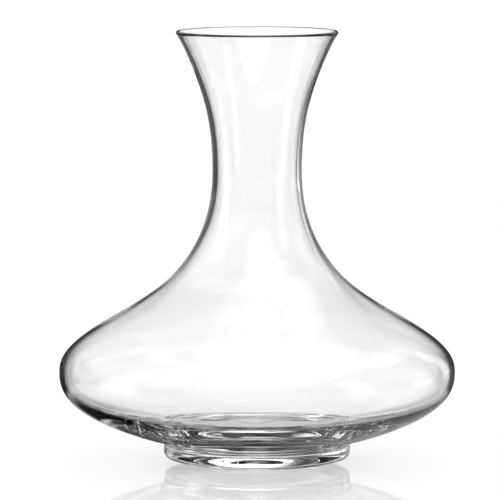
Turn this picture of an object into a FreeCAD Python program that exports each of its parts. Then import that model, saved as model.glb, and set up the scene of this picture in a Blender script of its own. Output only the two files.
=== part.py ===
"""Wine decanter, blown in one piece of clear glass: a low wide body on a short solid foot, and a
long neck that narrows to a throat and flares to a fire-polished mouth.

Units are millimetres. Z is the axis of the decanter and points up. The origin is the centre of the
foot, on the surface that the decanter stands on.

The glass is one closed section in the plane of radius and height, turned about the axis. Its outer
line passes five stations: heel, belly, flank, throat and rim. Between two stations runs one curve
that meets its neighbours with equal direction and equal curvature, as glass blown free does. The
inner line passes the same stations, each moved in by the thickness of the wall there.
"""
import FreeCAD, Part
import math
import os

# Driving dimensions, in millimetres and degrees.

# Whole decanter
height = 220.0              # table to the top of the mouth

# Foot: a solid band of glass under the body
foot_radius = 48.0          # straight side of the band
foot_side_height = 6.2      # table to the top of the straight side
foot_edge_radius = 2.2      # rounding between the side and the ring it stands on
foot_fillet_radius = 2.9    # hollow rounding where the band runs into the body
rest_ring_width = 5.0       # flat ring that touches the table
punt_depth = 3.0            # hollow in the middle of the underside

# Heel: where the underside of the body starts, at the end of the foot's hollow rounding
heel_rise_angle = 16.4      # rise of the underside above the horizontal

# Belly: the widest line
belly_radius = 102.1
belly_height = 44.2         # above the table
belly_bend_radius = 43.0    # radius of the outline there, seen from the side

# Flank: where the outline changes from bulging to hollow
flank_radius = 61.6
flank_height = 79.9
flank_fall_angle = 32.9     # fall of the flank below the horizontal, going outwards

# Throat: the narrowest line
throat_radius = 22.97
throat_height = 148.7
throat_bend_radius = 185.0

# Rim: the flare that ends in the mouth
rim_radius = 41.6           # outermost line of the mouth
rim_angle = 58.2            # angle between the flare and the horizontal
rim_bend_radius = 62.0

# Thickness of the glass, square to the surface
floor_thickness = 11.5      # in the middle, above the hollow of the underside
heel_wall = 5.4
belly_wall = 2.2
flank_wall = 1.8
throat_wall = 2.7
lip_thickness = 1.9         # also the diameter of the half-round edge of the mouth

# How far each curve keeps to the direction of its ends: 1 is even, less is slacker, more is tighter
underside_fullness = 0.84   # heel to belly
shoulder_fullness = 0.71    # belly to flank
neck_fullness = 0.98        # flank to throat
flare_fullness = 1.17       # throat to rim
floor_fullness = 1.0        # inside floor, from the axis to the heel
punt_fullness = 1.2         # hollow of the underside

CURVE_DEGREE = 5            # the lowest that sets place, direction and curvature at both ends


def direction(angle):
    """Unit vector in the section: 0 degrees points away from the axis and 90 degrees up."""
    return FreeCAD.Vector(math.cos(math.radians(angle)), 0, math.sin(math.radians(angle)))


def left_of(angle):
    """Unit vector to the left of that direction, which is the inside of the wall going up."""
    return direction(angle + 90)


def section_point(radius, z):
    return FreeCAD.Vector(radius, 0, z)


class Station:
    """A place on an outline: a point, the direction of travel there and the curvature.

    Curvature is 1 / radius, positive where the outline turns to the left.
    """

    def __init__(self, point, angle, curvature=0.0):
        self.point = point
        self.angle = angle
        self.curvature = curvature

    def inside(self, wall):
        """The same station on the inner face of a wall that is this thick."""
        point = self.point + left_of(self.angle) * wall
        return Station(point, self.angle, self.curvature / (1 - self.curvature * wall))


def curve(start, end, fullness):
    """One curve from station to station, with the place, direction and curvature of both."""
    reach = fullness * (end.point - start.point).Length / CURVE_DEGREE
    bend = reach**2 * CURVE_DEGREE / (CURVE_DEGREE - 1)
    leaving, arriving = direction(start.angle) * reach, direction(end.angle) * reach
    poles = [
        start.point,
        start.point + leaving,
        start.point + leaving * 2 + left_of(start.angle) * start.curvature * bend,
        end.point - arriving * 2 + left_of(end.angle) * end.curvature * bend,
        end.point - arriving,
        end.point,
    ]
    bezier = Part.BezierCurve()
    bezier.setPoles(poles)
    return bezier.toShape()


def arc(centre, radius, first_angle, last_angle):
    """Arc about a centre, drawn through its middle, with angles as in direction()."""
    first, middle, last = (
        centre + direction(angle) * radius
        for angle in (first_angle, (first_angle + last_angle) / 2, last_angle)
    )
    return Part.Arc(first, middle, last).toShape()


def line(start, end):
    return Part.LineSegment(start, end).toShape()


def lip_centre():
    """Centre of the half-round edge of the mouth."""
    return section_point(rim_radius - lip_thickness / 2, height - lip_thickness / 2)


def foot_fillet_centre():
    return section_point(foot_radius + foot_fillet_radius, foot_side_height)


def outer_stations():
    """The outer line of the body, from the heel up."""
    heel = foot_fillet_centre() + left_of(heel_rise_angle) * foot_fillet_radius
    belly = section_point(belly_radius, belly_height)
    flank = section_point(flank_radius, flank_height)
    throat = section_point(throat_radius, throat_height)
    rim = lip_centre() - left_of(rim_angle) * lip_thickness / 2
    return [
        Station(heel, heel_rise_angle),
        Station(belly, 90, 1 / belly_bend_radius),
        Station(flank, 180 - flank_fall_angle),
        Station(throat, 90, -1 / throat_bend_radius),
        Station(rim, rim_angle, -1 / rim_bend_radius),
    ]


def body_curves(stations):
    """The curves that join the stations of the body, from the heel up."""
    fullness = [underside_fullness, shoulder_fullness, neck_fullness, flare_fullness]
    return [curve(a, b, f) for a, b, f in zip(stations, stations[1:], fullness)]


def foot_edges():
    """The underside and the band of the foot, from the axis out and up to the heel."""
    ring_outer = section_point(foot_radius - foot_edge_radius, 0)
    ring_inner = section_point(ring_outer.x - rest_ring_width, 0)
    edge_centre = section_point(ring_outer.x, foot_edge_radius)
    punt_top = Station(section_point(0, punt_depth), 0)
    side_bottom = section_point(foot_radius, foot_edge_radius)
    side_top = section_point(foot_radius, foot_side_height)
    return [
        curve(punt_top, Station(ring_inner, 0), punt_fullness),
        line(ring_inner, ring_outer),
        arc(edge_centre, foot_edge_radius, -90, 0),
        line(side_bottom, side_top),
        arc(foot_fillet_centre(), foot_fillet_radius, 180, 90 + heel_rise_angle),
    ]


def decanter():
    """The whole decanter as one solid."""
    outer = outer_stations()
    walls = [heel_wall, belly_wall, flank_wall, throat_wall, lip_thickness]
    inner = [station.inside(wall) for station, wall in zip(outer, walls)]
    floor_middle = Station(section_point(0, punt_depth + floor_thickness), 0)
    floor = curve(floor_middle, inner[0], floor_fullness)
    lip = arc(lip_centre(), lip_thickness / 2, rim_angle - 90, rim_angle + 90)
    axis_line = line(section_point(0, punt_depth), floor_middle.point)
    outline = foot_edges() + body_curves(outer) + [lip] + body_curves(inner)[::-1] + [floor, axis_line]
    section = Part.Face(Part.Wire(outline))
    return section.revolve(FreeCAD.Vector(0, 0, 0), FreeCAD.Vector(0, 0, 1), 360)


def write(name, shape):
    """Check that the shape is one sound solid and write it."""
    if not shape.isValid() or len(shape.Solids) != 1:
        raise ValueError(name + " is not one valid solid")
    shape.Solids[0].exportStep("parts/" + name + ".step")
    box = shape.BoundBox
    print(name, "%.1f x %.1f x %.1f mm" % (box.XLength, box.YLength, box.ZLength),
          "%.1f cm3 of glass" % (shape.Volume / 1000))


os.makedirs("parts", exist_ok=True)
write("decanter", decanter())
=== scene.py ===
# %% [markdown]
# # A blown glass decanter on a white table
#
# The decanter is one piece of clear glass: a low wide body on a short solid foot, and a long neck
# that flares to an open mouth. Glass has no colour or pattern of its own. Everything the eye gets
# from it is light bent and mirrored by its two faces, so this lesson spends its effort on three
# things: the exact section of the wall, the small waves that blowing leaves, and a studio that
# draws dark lines along the edges.

# %% The frame
import math

import bpy
import numpy as np
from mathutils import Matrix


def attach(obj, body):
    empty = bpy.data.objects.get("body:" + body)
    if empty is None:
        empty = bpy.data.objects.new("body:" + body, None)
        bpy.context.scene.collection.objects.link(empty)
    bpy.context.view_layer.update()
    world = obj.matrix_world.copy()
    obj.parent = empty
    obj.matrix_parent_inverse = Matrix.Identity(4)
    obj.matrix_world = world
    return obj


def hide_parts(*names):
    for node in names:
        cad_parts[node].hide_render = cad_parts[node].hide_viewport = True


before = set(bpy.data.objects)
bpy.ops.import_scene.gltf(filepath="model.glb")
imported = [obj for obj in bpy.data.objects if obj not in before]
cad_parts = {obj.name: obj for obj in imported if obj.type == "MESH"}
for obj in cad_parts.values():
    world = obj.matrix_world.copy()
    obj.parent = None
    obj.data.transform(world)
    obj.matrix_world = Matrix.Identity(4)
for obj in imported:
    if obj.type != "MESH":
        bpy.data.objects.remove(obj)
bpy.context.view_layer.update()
cad_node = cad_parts["decanter"]

# %% [markdown]
# ## Camera
#
# The photograph looks a little down on the decanter from far away, so that the mouth is a thin
# ellipse and the sides are almost parallel. Distance, height and tilt come from the ellipses of
# the mouth and the foot, and the focal length from the height of the glass in the frame. The
# decanter stands a little right of the middle, which a small shift gives without turning the
# camera.

# %% Camera
IMAGE_SIZE = 500            # pixels of the photograph, both ways
FOCAL_PIXELS = 4120.0       # focal length, in pixels of the photograph
CAMERA_DISTANCE = 2.1085    # metres in front of the axis of the decanter
CAMERA_HEIGHT = 0.3423      # metres above the table
CAMERA_TILT = 6.366         # degrees below the horizontal
AXIS_COLUMN = 257.1         # column of the photograph in which the axis stands

camera_data = bpy.data.cameras.new("camera")
camera_data.lens = camera_data.sensor_width * FOCAL_PIXELS / IMAGE_SIZE
camera_data.shift_x = (IMAGE_SIZE / 2 - AXIS_COLUMN) / IMAGE_SIZE
camera = bpy.data.objects.new("camera", camera_data)
camera.location = (0, -CAMERA_DISTANCE, CAMERA_HEIGHT)
camera.rotation_euler = (math.radians(90 - CAMERA_TILT), 0, 0)
bpy.context.scene.collection.objects.link(camera)
bpy.context.scene.camera = camera
print("focal length: %.1f mm" % camera_data.lens)

# %% [markdown]
# ## The section of the wall
#
# A bottle or a bowl is often made with the Screw modifier from a curve. Here the section is
# worked out in code, because glass shows what a curve hides: each facet bends the view by
# itself, and so does each jump in curvature. The section is the one that the solid has: stations
# at the heel, belly, flank, throat and rim, joined by curves that agree in place, direction and
# curvature. The inner face passes the same stations, moved in by the thickness of the glass.

# %% Dimensions of the section, in millimetres and degrees
HEIGHT = 220.0
FOOT = dict(radius=48.0, side_height=6.2, edge=2.2, fillet=2.9, ring=5.0, punt=3.0)
FLOOR_THICKNESS = 11.5
RIM_RADIUS = 41.6
LIP_THICKNESS = 1.9
RIM_ANGLE = 58.2
HEEL_ANGLE = 16.4


def direction(angle):
    """Unit vector in the section: 0 degrees points away from the axis and 90 degrees up."""
    return np.array([math.cos(math.radians(angle)), math.sin(math.radians(angle))])


fillet_centre = np.array([FOOT["radius"] + FOOT["fillet"], FOOT["side_height"]])
lip_centre = np.array([RIM_RADIUS - LIP_THICKNESS / 2, HEIGHT - LIP_THICKNESS / 2])
heel = fillet_centre + direction(HEEL_ANGLE + 90) * FOOT["fillet"]
rim = lip_centre - direction(RIM_ANGLE + 90) * LIP_THICKNESS / 2
print("outer line from", heel.round(2), "at the heel to", rim.round(2), "at the rim")

# %% Stations
# Each station: point, direction of travel, curvature (1 / radius), thickness of the wall, and how
# tightly the curve that starts there keeps to the direction of its ends.
STATIONS = [
    (heel, HEEL_ANGLE, 0.0, 5.4, 0.84),
    (np.array([102.1, 44.2]), 90.0, 1 / 43.0, 2.2, 0.71),
    (np.array([61.6, 79.9]), 180 - 32.9, 0.0, 1.8, 0.98),
    (np.array([22.97, 148.7]), 90.0, -1 / 185.0, 2.7, 1.17),
    (rim, RIM_ANGLE, -1 / 62.0, LIP_THICKNESS, 1.0),
]
print("stations:", [[round(float(v), 1) for v in station[0]] for station in STATIONS])

# %% Curves between the stations
CURVE_DEGREE = 5            # the lowest that sets place, direction and curvature at both ends
CURVE_POINTS = 160
ARC_POINTS = 40


def smooth_curve(start, end, fullness):
    """Points of the curve that has the place, direction and curvature of both its ends."""
    (p0, angle0, curvature0), (p1, angle1, curvature1) = start, end
    reach = fullness * np.linalg.norm(p1 - p0) / CURVE_DEGREE
    bend = reach**2 * CURVE_DEGREE / (CURVE_DEGREE - 1)
    out, back = direction(angle0) * reach, direction(angle1) * reach
    poles = [
        p0,
        p0 + out,
        p0 + out * 2 + direction(angle0 + 90) * curvature0 * bend,
        p1 - back * 2 + direction(angle1 + 90) * curvature1 * bend,
        p1 - back,
        p1,
    ]
    t = np.linspace(0, 1, CURVE_POINTS)[:, None]
    return sum(
        math.comb(CURVE_DEGREE, i) * (1 - t) ** (CURVE_DEGREE - i) * t**i * pole
        for i, pole in enumerate(poles)
    )


def arc(centre, radius, first, last):
    """Points of an arc, with angles as in direction()."""
    return np.array(
        [centre + direction(angle) * radius for angle in np.linspace(first, last, ARC_POINTS)]
    )


def wall_curves(inner):
    """The curves of the outer or the inner face, from the heel up to the rim."""
    ends = []
    for point, angle, curvature, wall, _ in STATIONS:
        if inner:
            point = point + direction(angle + 90) * wall
            curvature = curvature / (1 - curvature * wall)
        ends.append((point, angle, curvature))
    return [smooth_curve(a, b, station[4]) for a, b, station in zip(ends, ends[1:], STATIONS)]


outer_face = np.concatenate(wall_curves(inner=False))
inner_face = np.concatenate(wall_curves(inner=True))
print("widest: %.1f mm outside, %.1f mm inside" % (outer_face[:, 0].max(), inner_face[:, 0].max()))

# %% The closed line, from the middle of the underside round the lip to the middle of the floor
LINE_POINTS = 20
PUNT_FULLNESS, FLOOR_FULLNESS = 1.2, 1.0
SAME_POINT = 1e-6           # millimetres: points closer together than this are one

ring_outer = FOOT["radius"] - FOOT["edge"]
ring_inner = ring_outer - FOOT["ring"]
punt_middle = (np.array([0, FOOT["punt"]]), 0, 0)
floor_middle = (np.array([0, FOOT["punt"] + FLOOR_THICKNESS]), 0, 0)
side = [[FOOT["radius"], FOOT["edge"]], [FOOT["radius"], FOOT["side_height"]]]
foot = [
    smooth_curve(punt_middle, (np.array([ring_inner, 0]), 0, 0), PUNT_FULLNESS),
    np.linspace([ring_inner, 0], [ring_outer, 0], LINE_POINTS),
    arc(np.array([ring_outer, FOOT["edge"]]), FOOT["edge"], -90, 0),
    np.linspace(*side, LINE_POINTS),
    arc(fillet_centre, FOOT["fillet"], 180, 90 + HEEL_ANGLE),
]
lip = arc(lip_centre, LIP_THICKNESS / 2, RIM_ANGLE - 90, RIM_ANGLE + 90)
floor = smooth_curve(floor_middle, (inner_face[0], HEEL_ANGLE, 0), FLOOR_FULLNESS)
dense = np.concatenate(foot + [outer_face, lip, inner_face[::-1], floor[::-1]])
dense = dense[np.append(True, np.linalg.norm(np.diff(dense, axis=0), axis=1) > SAME_POINT)]
steps = np.diff(dense, axis=0)
print("closed line: %d points" % len(dense))

# %% [markdown]
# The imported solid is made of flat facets, but their corners lie on its true surface. So the
# corners that lie in the plane of the section tell whether the drawn line is the solid's own.

# %% The drawn line against the solid
IN_PLANE = 1e-4             # millimetres: a corner this near to the plane lies in it

corners = np.array([v.co for v in cad_node.data.vertices]) * 1000
in_section = corners[(abs(corners[:, 1]) < IN_PLANE) & (corners[:, 0] > 0)][:, [0, 2]]
worst = 0.0
for corner in in_section:
    along = np.clip(((corner - dense[:-1]) * steps).sum(1) / (steps**2).sum(1), 0, 1)[:, None]
    worst = max(worst, np.linalg.norm(dense[:-1] + steps * along - corner, axis=1).min())
print("%d corners of the solid lie within %.3f mm of the line" % (len(in_section), worst))

# %% [markdown]
# ## Points where the glass bends most
#
# The mesh is kept to about 200 000 triangles, so its points go where they count. The line is cut
# at equal steps of a sum: the way travelled, plus the angle turned. The lip and the edges of the
# foot are small but turn a lot, and so they get enough points to stay round.

# %% Points of the section
STRAIGHT_STEP = 2.9         # millimetres between points on a straight run
TURN_STEP = 8.5             # degrees between points on a tight bend

way = np.linalg.norm(steps, axis=1)
heading = np.unwrap(np.arctan2(steps[:, 1], steps[:, 0]))
turn = np.degrees(np.abs(np.gradient(heading)))
effort = np.append(0, np.cumsum(way / STRAIGHT_STEP + turn / TURN_STEP))
count = int(round(effort[-1])) + 1
even = np.linspace(0, effort[-1], count)
section = np.column_stack([np.interp(even, effort, dense[:, axis]) for axis in (0, 1)])
distance = np.interp(even, effort, np.append(0, np.cumsum(way)))
print("section: %d points over %.0f mm of glass surface" % (count, distance[-1]))

# %% [markdown]
# ## Waves of blown glass
#
# Glass that is blown and turned by hand is never quite true. The walls carry long faint waves,
# and the thick floor, which cools last and is worked with a tool, carries rings and small
# hollows. Through a floor seen at a flat angle each of these becomes a dark or bright streak.
# A bump texture could fake the shine, but the far side of the glass would stay perfect, so the
# waves are moved into the mesh. The ring that stands on the table and the lip stay true.

# %% Waves
AROUND = 288                # points round the axis
SEED = 11
WANDER = 0.6                # radians by which a crest wanders on its way round

rng = np.random.default_rng(SEED)
angles = np.linspace(0, 2 * math.pi, AROUND, endpoint=False)


def waves(lengths, turns, amount):
    """A sum of waves along the section and round it, each with a start of its own."""
    total = np.zeros((count, AROUND))
    for length in lengths:
        for number in turns:
            phase, drift = rng.uniform(0, 2 * math.pi, 2)
            along = distance[:, None] * 2 * math.pi / length + phase
            crests = np.cos(along + WANDER * np.sin(angles * max(number, 1) + drift))
            total += crests * np.cos(angles * number + drift)
    return total * amount / math.sqrt(len(lengths) * len(turns))


wall_wave = waves(lengths=(61.0, 38.0), turns=(2, 3), amount=0.02)
floor_wave = waves(lengths=(16.0, 11.0, 7.5, 5.5), turns=(0, 0, 0, 1, 3), amount=0.08)
print("waves: %.3f mm in the wall, %.3f mm in the floor" % (wall_wave.max(), floor_wave.max()))

# %% Where the waves lie
FLOOR_WAVES_TO = 9.0        # millimetres above the table: full below, gone at twice the height
CALM_AXIS = 8.0             # millimetres over which waves grow, away from the axis
CALM_RING = 1.5             # up from the ring that stands on the table
CALM_LIP = 12.0             # and down from the lip

radius, level = section[:, 0], section[:, 1]
low = 1 - np.clip((level - FLOOR_WAVES_TO) / FLOOR_WAVES_TO, 0, 1)
off_axis = np.clip(radius / CALM_AXIS, 0, 1)
off_ring = np.clip(level / CALM_RING, 0, 1)
off_lip = np.clip((HEIGHT - level) / CALM_LIP, 0, 1)
wave = wall_wave * (1 - low)[:, None] + floor_wave * low[:, None]
wave *= (off_axis * off_ring * off_lip)[:, None]
print("largest wave: %.3f mm" % abs(wave).max())

# %% [markdown]
# ## Turning the section
#
# The section goes round the axis in equal steps. The two points on the axis are closed with
# small fans, so the skin is watertight. Glass needs that: a ray must know whether it is inside.

# %% Rings of points round the axis, in metres
tangent = np.gradient(section, axis=0)
tangent /= np.linalg.norm(tangent, axis=1)[:, None]
outward = np.column_stack([tangent[:, 1], -tangent[:, 0]])       # away from the glass
turned_radius = (radius[:, None] + wave * outward[:, :1]) / 1000
turned_level = (level[:, None] + wave * outward[:, 1:]) / 1000
rings = np.stack(
    [turned_radius * np.cos(angles), turned_radius * np.sin(angles), turned_level], axis=2
)[1:-1]
vertices = [tuple(v) for v in rings.reshape(-1, 3)]
vertices += [(0, 0, level[0] / 1000), (0, 0, level[-1] / 1000)]
print("rings: %d of %d points" % (len(rings), AROUND))

# %% Faces
faces = []
last_row = (len(rings) - 1) * AROUND
for row in range(0, last_row, AROUND):
    for j in range(AROUND):
        k = (j + 1) % AROUND
        faces.append((row + j, row + k, row + AROUND + k, row + AROUND + j))
under, above = last_row + AROUND, last_row + AROUND + 1
for j in range(AROUND):
    k = (j + 1) % AROUND
    faces.append((under, k, j))
    faces.append((above, last_row + j, last_row + k))

mesh = bpy.data.meshes.new("blown_glass")
mesh.from_pydata(vertices, [], faces)
mesh.shade_smooth()
triangles = sum(len(face.vertices) - 2 for face in mesh.polygons)
print("mesh: %d vertices, %d triangles" % (len(mesh.vertices), triangles))

# %% [markdown]
# ## The piece in the frame
#
# The decanter is one body without joints, so the glass rides on that body. It shows in the place
# of the solid, from which it differs only by its waves.

# %% The piece in the frame
glass = bpy.data.objects.new("blown_glass", mesh)
bpy.context.scene.collection.objects.link(glass)
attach(glass, "root")
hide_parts("decanter")
print("%s takes the place of the solid" % glass.name)

# %% [markdown]
# ## Two helpers for materials
#
# Colours are written as sRGB hex values, as a paint program shows them, and turned into the
# linear values that the renderer counts in. One small function adds a node with its settings and
# its links. Settings can switch inputs and outputs of a node off, and it leaves those out.

# %% Helpers


def colour(hex_value):
    """Linear red, green, blue and alpha of an sRGB hex value."""
    channels = [int(hex_value[i : i + 2], 16) / 255 for i in (1, 3, 5)]
    return [c / 12.92 if c <= 0.04045 else ((c + 0.055) / 1.055) ** 2.4 for c in channels] + [1.0]


def add_node(tree, kind, *values, named=None, **settings):
    """Add a node with its settings, and fill its inputs in their order or by name.

    A node given as a value is linked by its first output, and an output is linked itself.
    """
    node = tree.nodes.new("ShaderNode" + kind)
    for name, setting in settings.items():
        setattr(node, name, setting)
    pairs = list(zip([socket for socket in node.inputs if socket.enabled], values))
    pairs += [(node.inputs[name], value) for name, value in (named or {}).items()]
    for socket, value in pairs:
        if isinstance(value, bpy.types.Node):
            value = next(output for output in value.outputs if output.enabled)
        if isinstance(value, bpy.types.NodeSocket):
            tree.links.new(value, socket)
        else:
            socket.default_value = value
    return node


COLOURS = {"data_type": "RGBA"}                     # settings of a mix of two colours
SMOOTH = {"interpolation_type": "SMOOTHSTEP"}       # settings of a smooth step between values
print("middle grey in linear values: %.3f" % colour("#808080")[0])

# %% [markdown]
# ## Clear crystal glass, blown and fire-polished
#
# Lead-free crystal is as clear as water and a little heavier in its bending of light than window
# glass: its IOR is about 1.52. Fire-polishing melts the skin smooth, so the roughness is zero
# and all gloss is sharp. The Glass shader would do, but Principled with full transmission gives
# the same, and other programs know it too. A faint bump of waves as wide as a finger keeps the
# mirrored lamps from looking drawn.

# %% Skin of the glass
WAVE_WIDTH = 0.018          # metres: the width of a wave in the skin
WAVE_RISE = 0.00002         # metres: how far it rises
WAVE_SHARE = 0.5            # share of it that the light follows

crystal = bpy.data.materials.new("clear_crystal_glass")
crystal.use_nodes = True
tree = crystal.node_tree
tree.nodes.clear()
place = add_node(tree, "TexCoord").outputs["Object"]
skin = add_node(
    tree, "TexNoise", named={"Vector": place, "Scale": 1 / WAVE_WIDTH, "Detail": 1.0}
)
bump = add_node(
    tree, "Bump", named={"Height": skin, "Strength": WAVE_SHARE, "Distance": WAVE_RISE}
)
glass_shader = add_node(
    tree,
    "BsdfPrincipled",
    named={
        "Base Color": colour("#ffffff"),
        "Roughness": 0.0,
        "IOR": 1.52,
        "Transmission Weight": 1.0,
        "Normal": bump,
    },
)
print("waves in the skin: %.0f mm wide" % (WAVE_WIDTH * 1000))

# %% [markdown]
# A lamp's light bent through glass falls as bright curls, which take very many samples. So rays
# to the lamps pass straight, dimmed a little at each face, and more in the thick foot.
#
# A thick piece also takes a little light itself. That shows in the foot, where the view runs
# through ten centimetres of it: a volume that absorbs, not a colour on the skin.

# %% Rays to the lamps, and the depth of the glass
FACE_PASSES = "#fbfbfb"     # what a thin wall's face lets through on the way to a lamp
FOOT_PASSES = "#ededed"     # the same in the foot
FOOT_TOP = 0.0125           # metres above the table
DEPTH_TONE = "#b9b9b9"      # what the depth of the glass spares of the light
DEPTH_DENSITY = 5.0         # how strongly it takes the rest, per metre

height = add_node(tree, "SeparateXYZ", place).outputs["Z"]
in_foot = add_node(tree, "Math", height, FOOT_TOP, operation="LESS_THAN")
passes = add_node(tree, "Mix", in_foot, colour(FACE_PASSES), colour(FOOT_PASSES), **COLOURS)
straight_through = add_node(tree, "BsdfTransparent", passes)
ray = add_node(tree, "LightPath").outputs
to_lamp = add_node(
    tree, "Math", ray["Is Shadow Ray"], ray["Is Diffuse Ray"], operation="MAXIMUM"
)
surface = add_node(tree, "MixShader", to_lamp, glass_shader, straight_through)
depth = add_node(
    tree, "VolumeAbsorption", named={"Color": colour(DEPTH_TONE), "Density": DEPTH_DENSITY}
)
add_node(tree, "OutputMaterial", named={"Surface": surface, "Volume": depth})
mesh.materials.append(crystal)
print("glass nodes:", len(tree.nodes))

# %% [markdown]
# ## A white table
#
# The table is a sheet of clear glass, painted white behind. Seen straight, or straight through
# the decanter, it is white. What the decanter mirrors is another matter: a glass on a table that
# is white to every side has no edges at all. A photographer cuts the white surface down to what
# the picture needs and lays dark card round it. Pieces of card could be modelled, but then they
# would be seen as well. So there is no card: the table's material paints its dark into the table's
# colour, and only for a ray that the decanter has mirrored. That is a painted reflection. Behind
# the decanter the painted card leaves a narrow light band near the foot. In the other directions
# the dark reaches further out, and the light band is wide.

# %% Sheets of the table
TABLE_RADIUS = 6.0          # metres, as all lengths of the table
RIM_POINTS = 96


def add_table_sheet(name, level, material):
    """A round sheet of the table's size."""
    bearings = np.linspace(0, 2 * math.pi, RIM_POINTS, endpoint=False)
    rim_points = [(TABLE_RADIUS * math.cos(a), TABLE_RADIUS * math.sin(a), level) for a in bearings]
    sheet_mesh = bpy.data.meshes.new(name)
    sheet_mesh.from_pydata(rim_points, [], [tuple(range(RIM_POINTS))])
    sheet_mesh.materials.append(material)
    sheet = bpy.data.objects.new(name, sheet_mesh)
    bpy.context.scene.collection.objects.link(sheet)


print("table: %.0f m across" % (2 * TABLE_RADIUS))

# %% Where the painted card lies
REAR_SECTOR = (50, 75)      # degrees off the direction straight behind the decanter
# name: distances from the axis, from and to, and the share of painted card before and after them
PAINTED_CARDS = {
    "close": (0.075, 0.095, 1.0, 0.0),      # in the rear sector
    "back": (0.15, 0.20, 0.0, 1.0),         # in the rear sector too
    "side": (0.17, 0.22, 1.0, 0.0),         # in the other directions
    "outer": (0.55, 0.95, 0.0, 1.0),        # in all directions
}

white_glass = bpy.data.materials.new("glass_painted_white_behind")
white_glass.use_nodes = True
tree = white_glass.node_tree
tree.nodes.clear()
place = add_node(tree, "NewGeometry").outputs["Position"]
x, y, _ = add_node(tree, "SeparateXYZ", place).outputs
from_axis = add_node(tree, "VectorMath", place, operation="LENGTH")
from_rear = add_node(tree, "Math", x, y, operation="ARCTAN2")
off_rear = add_node(tree, "Math", from_rear, operation="ABSOLUTE")
sector_edges = [math.radians(angle) for angle in REAR_SECTOR]
in_sector = add_node(tree, "MapRange", off_rear, *sector_edges, 1.0, 0.0, **SMOOTH)
# Each mask marks where dark is painted into the table's colour. Only mirrored rays see it, as a
# painted reflection.
painted_cards = {
    name: add_node(tree, "MapRange", from_axis, *step, **SMOOTH) for name, step in PAINTED_CARDS.items()
}
painted_back_card = add_node(tree, "Math", in_sector, painted_cards["back"], operation="MULTIPLY")
painted_inner_card = add_node(tree, "Mix", in_sector, painted_cards["side"], painted_cards["close"])
painted_far_cards = add_node(tree, "Math", painted_back_card, painted_cards["outer"], operation="MAXIMUM")
painted_card = add_node(tree, "Math", painted_far_cards, painted_inner_card, operation="MAXIMUM")
print("cards:", ", ".join("%s at %.0f mm" % (name, step[0] * 1000) for name, step in PAINTED_CARDS.items()))

# %% [markdown]
# The painted card isn't of one tone. It is lighter to the right, as the underside of the
# photograph's decanter is, and lighter again far off, where the neck looks. Every tone here is
# painted into the table's colour and is seen only in the decanter's reflections.

# %% Tones of the painted card
# Painted reflection tones: the table between the painted cards and the cards themselves, as the
# decanter mirrors them.
PAINTED_MIRRORED_TABLE = "#b8b8b8"       # the table between the cards, as the decanter mirrors it
CLOSE_TONES = ("#303030", "#b4b4b4")        # close to the decanter, left and right
WIDE_TONES = ("#1c1c1c", "#4c4c4c")         # further out, left and right
FAR_TONE = "#505050"
RIGHT_FROM = (0.0, 0.08)    # to the right of the axis
WIDE_FROM = (0.15, 0.22)    # distance from the axis
FAR_FROM = (0.33, 0.6)      # distance from the axis

rightness = add_node(tree, "MapRange", x, *RIGHT_FROM, **SMOOTH)
wide = add_node(tree, "MapRange", from_axis, *WIDE_FROM, **SMOOTH)
far = add_node(tree, "MapRange", from_axis, *FAR_FROM, **SMOOTH)
side_tones = [
    add_node(tree, "Mix", rightness, colour(left), colour(right), **COLOURS)
    for left, right in (CLOSE_TONES, WIDE_TONES)
]
near_tone = add_node(tree, "Mix", wide, *side_tones, **COLOURS)
painted_card_tone = add_node(tree, "Mix", far, near_tone, colour(FAR_TONE), **COLOURS)
painted_reflection_tone = add_node(tree, "Mix", painted_card, colour(PAINTED_MIRRORED_TABLE), painted_card_tone, **COLOURS)
print("tones of the card:", CLOSE_TONES, WIDE_TONES, FAR_TONE)

# %% [markdown]
# The lip is a line of light and dark because its round edge bends the view steeply down, to the
# table behind the decanter. A steep ray is known by its length, which is then more than its way
# out from the axis. For such a ray the table is painted grey, though to the camera it is white
# there: a painted dark, seen only through the glass. Every other straight view meets white.

# %% Straight views of the table
SEEN_WHITE = "#f3f3f3"
# painted grey, shown only to steep rays that have passed through the glass
PAINTED_GREY_UNDER_LIP = "#585858"
STEEP_FROM = (0.15, 0.20)   # distance from the axis
STEEPNESS = (0.0, 0.04)     # what a steep ray has run more than that distance
ONCE, TWICE = 0.5, 1.5      # a count above this is one at least, or two at least

ray = add_node(tree, "LightPath").outputs
detour = add_node(tree, "Math", ray["Ray Length"], from_axis, operation="SUBTRACT")
steep = add_node(tree, "MapRange", detour, *STEEPNESS, **SMOOTH)
off_foot = add_node(tree, "MapRange", from_axis, *STEEP_FROM, **SMOOTH)
bent_down = add_node(tree, "Math", steep, off_foot, operation="MULTIPLY")
through_glass = add_node(tree, "Math", ray["Transmission Depth"], ONCE, operation="GREATER_THAN")
by_lip = add_node(tree, "Math", bent_down, through_glass, operation="MULTIPLY")
seen_tone = add_node(tree, "Mix", by_lip, colour(SEEN_WHITE), colour(PAINTED_GREY_UNDER_LIP), **COLOURS)
print("grey under the lip from %.0f mm on" % (STEEP_FROM[0] * 1000))

# %% [markdown]
# The paint lies four millimetres below the foot, so the mirror image starts a little lower. Glass
# has an IOR of 1.52, but the photograph's table mirrors less than that, hence the lower value.

# %% Paint of the table
SHEET = 0.004               # from the foot down to the paint

# Mirrored rays get the painted reflection tones, and all other rays get the white or the painted
# grey.
mirrored = add_node(tree, "Math", ray["Glossy Depth"], ONCE, operation="GREATER_THAN")
tone = add_node(tree, "Mix", mirrored, seen_tone, painted_reflection_tone, **COLOURS)
table_shader = add_node(
    tree, "BsdfPrincipled", named={"Base Color": tone, "Roughness": 0.05, "IOR": 1.2}
)
add_node(tree, "OutputMaterial", table_shader)
add_table_sheet("table", -SHEET, white_glass)
print("table nodes:", len(tree.nodes))

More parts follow.
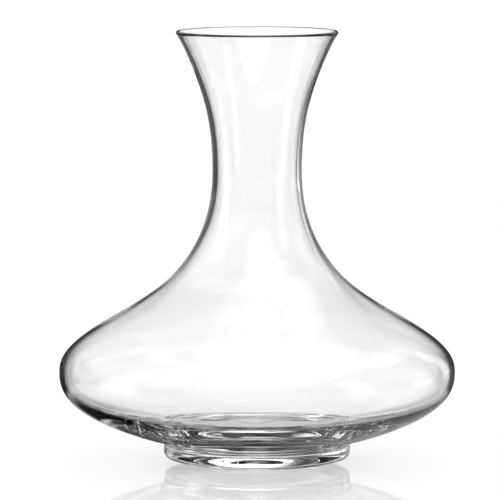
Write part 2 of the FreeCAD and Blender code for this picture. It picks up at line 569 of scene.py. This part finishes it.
# %% [markdown]
# The top of the sheet changes nothing that is seen. It marks the rays that the table has
# mirrored, so that the studio can answer them with white.

# %% Top of the sheet
FILM_GAP = 0.00005          # keeps it clear of the foot

clear_film = bpy.data.materials.new("clear_film")
clear_film.use_nodes = True
tree = clear_film.node_tree
tree.nodes.clear()
add_node(tree, "OutputMaterial", add_node(tree, "BsdfTransparent"))
add_table_sheet("film", -FILM_GAP, clear_film)
print("paint %.0f mm below the foot" % (SHEET * 1000))

# %% [markdown]
# ## The studio
#
# The studio is a world shader: a dark room with soft boxes, each a patch of light at a bearing
# and a height. Lamps would do the same, but their edges are hard, and in glass every lamp is
# seen. Bearings are in degrees from the camera's side of the decanter, positive to the right.

# %% Directions in the studio
world = bpy.data.worlds.new("studio")
bpy.context.scene.world = world
world.use_nodes = True
tree = world.node_tree
tree.nodes.clear()
ray = add_node(tree, "LightPath").outputs
sky = add_node(tree, "TexCoord").outputs["Generated"]
x, y, z = add_node(tree, "SeparateXYZ", sky).outputs
to_front = add_node(tree, "Math", y, -1.0, operation="MULTIPLY")
bearing_radians = add_node(tree, "Math", x, to_front, operation="ARCTAN2")
bearing = add_node(tree, "Math", bearing_radians, operation="DEGREES")
height_radians = add_node(tree, "Math", z, operation="ARCSINE")
height = add_node(tree, "Math", height_radians, operation="DEGREES")
print("nodes for the direction of a view:", len(tree.nodes))

# %% Soft boxes
# name: bearing, height, half width, half height, soft edge (all degrees), strength
SOFT_BOXES = {
    "front, high": (0, 53, 28, 15, 10, 1.7),
    "front, low": (0, -22, 45, 38, 8, 0.45),
    "left strip": (-88, 12, 12, 33, 8, 2.0),
    "right strip": (62, 12, 10, 33, 8, 1.4),
    "right strip, behind": (144, 5, 6, 25, 4, 1.0),
    "right box, behind": (112, 5, 12, 25, 6, 0.9),
}
HALF_TURN = 180.0           # degrees


def soft_patch(across, along, half_width, half_height, edge, strength):
    """The strength of a patch with soft edges, from two nodes that are zero in its middle."""
    for offset, half in ((across, half_width), (along, half_height)):
        size = add_node(tree, "Math", offset, operation="ABSOLUTE")
        fade = add_node(tree, "MapRange", size, half - edge, half + edge, 1.0, 0.0, **SMOOTH)
        strength = add_node(tree, "Math", fade, strength, operation="MULTIPLY")
    return strength


def at_bearing(middle, level, *patch):
    """A soft patch at a bearing and a height, both in degrees."""
    offset = add_node(tree, "Math", bearing, middle, operation="SUBTRACT")
    turned = add_node(tree, "Math", offset, HALF_TURN, -HALF_TURN, operation="WRAP")
    raised = add_node(tree, "Math", height, level, operation="SUBTRACT")
    return soft_patch(turned, raised, *patch)


lights = [at_bearing(*box) for box in SOFT_BOXES.values()]
print("soft boxes:", "; ".join(SOFT_BOXES))

# %% [markdown]
# A large sheet hangs overhead and shows in the shoulder. It is flat, so its place is worked out
# on the ceiling: the direction divided by its own height.

# %% Ceiling sheet
# middle to the right and to the back, half width, half depth, soft edge, strength; the lengths
# are parts of the ceiling's height, and one below zero is to the left or to the front
CEILING_SHEET = (0.2, -0.45, 0.5, 1.05, 0.3, 1.9)
LOWEST = 0.02               # keeps the division sound down to the horizon

upward = add_node(tree, "Math", z, LOWEST, operation="MAXIMUM")
middle_x, middle_y, *sheet = CEILING_SHEET
sheet_sides = []
for side, middle in ((x, middle_x), (y, middle_y)):
    spread = add_node(tree, "Math", side, upward, operation="DIVIDE")
    sheet_sides.append(add_node(tree, "Math", spread, middle, operation="SUBTRACT"))
lights.append(soft_patch(*sheet_sides, *sheet))
print("ceiling sheet: %.1f of its height across" % (2 * sheet[0]))

# %% [markdown]
# The dark lines along the edges come from a black flag in the middle of the rear wall: the edge
# of a glass mirrors what stands just beside the view. Further out the wall gets lighter with
# height and a little darker to the right, and a sheet high behind lights the shoulders.
#
# In the thick foot a ray is mirrored many times. There the even light of the wall would turn to
# grey mush, so only rays that were mirrored once see the wall.

# %% Rear wall
FLAG = (10, 19)             # degrees from its middle: black up to here, gone from there on
FLAG_MIDDLE = (0.0, 0.9938, -0.1109)        # behind the decanter and a little down
WALL_HEIGHTS = (6, 24)      # degrees above the horizon
WALL_LOW, WALL_HIGH = 0.12, 0.75            # strength below and above them
WALL_SIDES = (-0.2, 0.4)    # across, as part of a direction
WALL_RIGHT = 0.7            # share of the strength to the right of them
REAR_SHEET = (180, 30, 24, 20, 7, 0.8)      # as a soft box

facing = add_node(tree, "VectorMath", sky, FLAG_MIDDLE, operation="DOT_PRODUCT")
off_middle = add_node(tree, "Math", facing, operation="ARCCOSINE")
flag_edges = [math.radians(angle) for angle in FLAG]
off_flag = add_node(tree, "MapRange", off_middle, *flag_edges, **SMOOTH)
by_height = add_node(tree, "MapRange", height, *WALL_HEIGHTS, WALL_LOW, WALL_HIGH, **SMOOTH)
by_side = add_node(tree, "MapRange", x, *WALL_SIDES, 1.0, WALL_RIGHT, **SMOOTH)
wall = add_node(tree, "Math", by_height, by_side, operation="MULTIPLY")
with_sheet = add_node(tree, "Math", wall, at_bearing(*REAR_SHEET), operation="MAXIMUM")
open_wall = add_node(tree, "Math", with_sheet, off_flag, operation="MULTIPLY")

mirrored = add_node(tree, "Math", ray["Glossy Depth"], ONCE, operation="GREATER_THAN")
again = add_node(tree, "Math", ray["Glossy Depth"], TWICE, operation="GREATER_THAN")
mirrored_once = add_node(tree, "Math", mirrored, again, operation="SUBTRACT")
lights.append(add_node(tree, "Math", open_wall, mirrored_once, operation="MULTIPLY"))
print("flag: %d degrees to each side" % FLAG[0])

# %% [markdown]
# A ray that was never mirrored meets a white backdrop, which ends a little above the horizon.
# Rays that have been inside the glass and were mirrored see only a narrow strip of it, and see
# it weaker if they were mirrored only once.

# %% Backdrop
BACKDROP_TOP = (4, 12)      # degrees above the horizon at which the white ends
REAR_STRIP = (180, -16, 5, 25, 3, 1.0)      # as a soft box
STRIP_ONCE = 0.25           # share of the strip for rays mirrored only once

been_inside = add_node(tree, "Math", ray["Transmission Depth"], ONCE, operation="GREATER_THAN")
share = add_node(tree, "MapRange", again, 0, 1, STRIP_ONCE, 1.0, **SMOOTH)
strip = add_node(tree, "Math", at_bearing(*REAR_STRIP), been_inside, operation="MULTIPLY")
lights.append(add_node(tree, "Math", strip, share, operation="MULTIPLY"))

below_top = add_node(tree, "MapRange", height, *BACKDROP_TOP, 1.0, 0.0, **SMOOTH)
never_mirrored = add_node(tree, "Math", 1.0, mirrored, operation="SUBTRACT")
lights.append(add_node(tree, "Math", never_mirrored, below_top, operation="MULTIPLY"))
print("backdrop: white up to %d degrees" % BACKDROP_TOP[0])

# %% [markdown]
# The camera itself sees white, and so does a ray that the table alone has mirrored. Light that
# falls on the table has one even strength, so the table has no hot spot. Rays that were mirrored
# more than once get all they see stronger, because each mirroring in the foot costs them some.

# %% What each ray sees
FAINT_ROOM = 0.02           # strength where there is no light
RAISED = 2.0                # for rays mirrored more than once
TABLE_LIGHT = 1.1           # strength of the light that falls on the table

met_film = add_node(tree, "Math", ray["Transparent Depth"], ONCE, operation="GREATER_THAN")
not_again = add_node(tree, "Math", 1.0, again, operation="SUBTRACT")
lights.append(add_node(tree, "Math", met_film, not_again, operation="MULTIPLY"))
lights.append(ray["Is Camera Ray"])

brightest = FAINT_ROOM
for light in lights:
    brightest = add_node(tree, "Math", brightest, light, operation="MAXIMUM")
raising = add_node(tree, "MapRange", again, 0, 1, 1.0, RAISED, **SMOOTH)
seen = add_node(tree, "Math", brightest, raising, operation="MULTIPLY")
strength = add_node(tree, "Mix", ray["Is Diffuse Ray"], seen, TABLE_LIGHT)
add_node(tree, "OutputWorld", add_node(tree, "Background", colour("#ffffff"), strength))
print("studio nodes:", len(tree.nodes))

# %% [markdown]
# ## Depth of the view
#
# A ray that enters the foot is mirrored many times before it leaves. With the usual limits it
# would end as a black speck, so the limits are raised.

# %% Render settings that belong to the scene
scene = bpy.context.scene
scene.view_settings.view_transform = "Standard"
scene.cycles.max_bounces = 32
scene.cycles.glossy_bounces = 24
scene.cycles.transmission_bounces = 32
scene.cycles.transparent_max_bounces = 32
print("bounces:", scene.cycles.max_bounces)
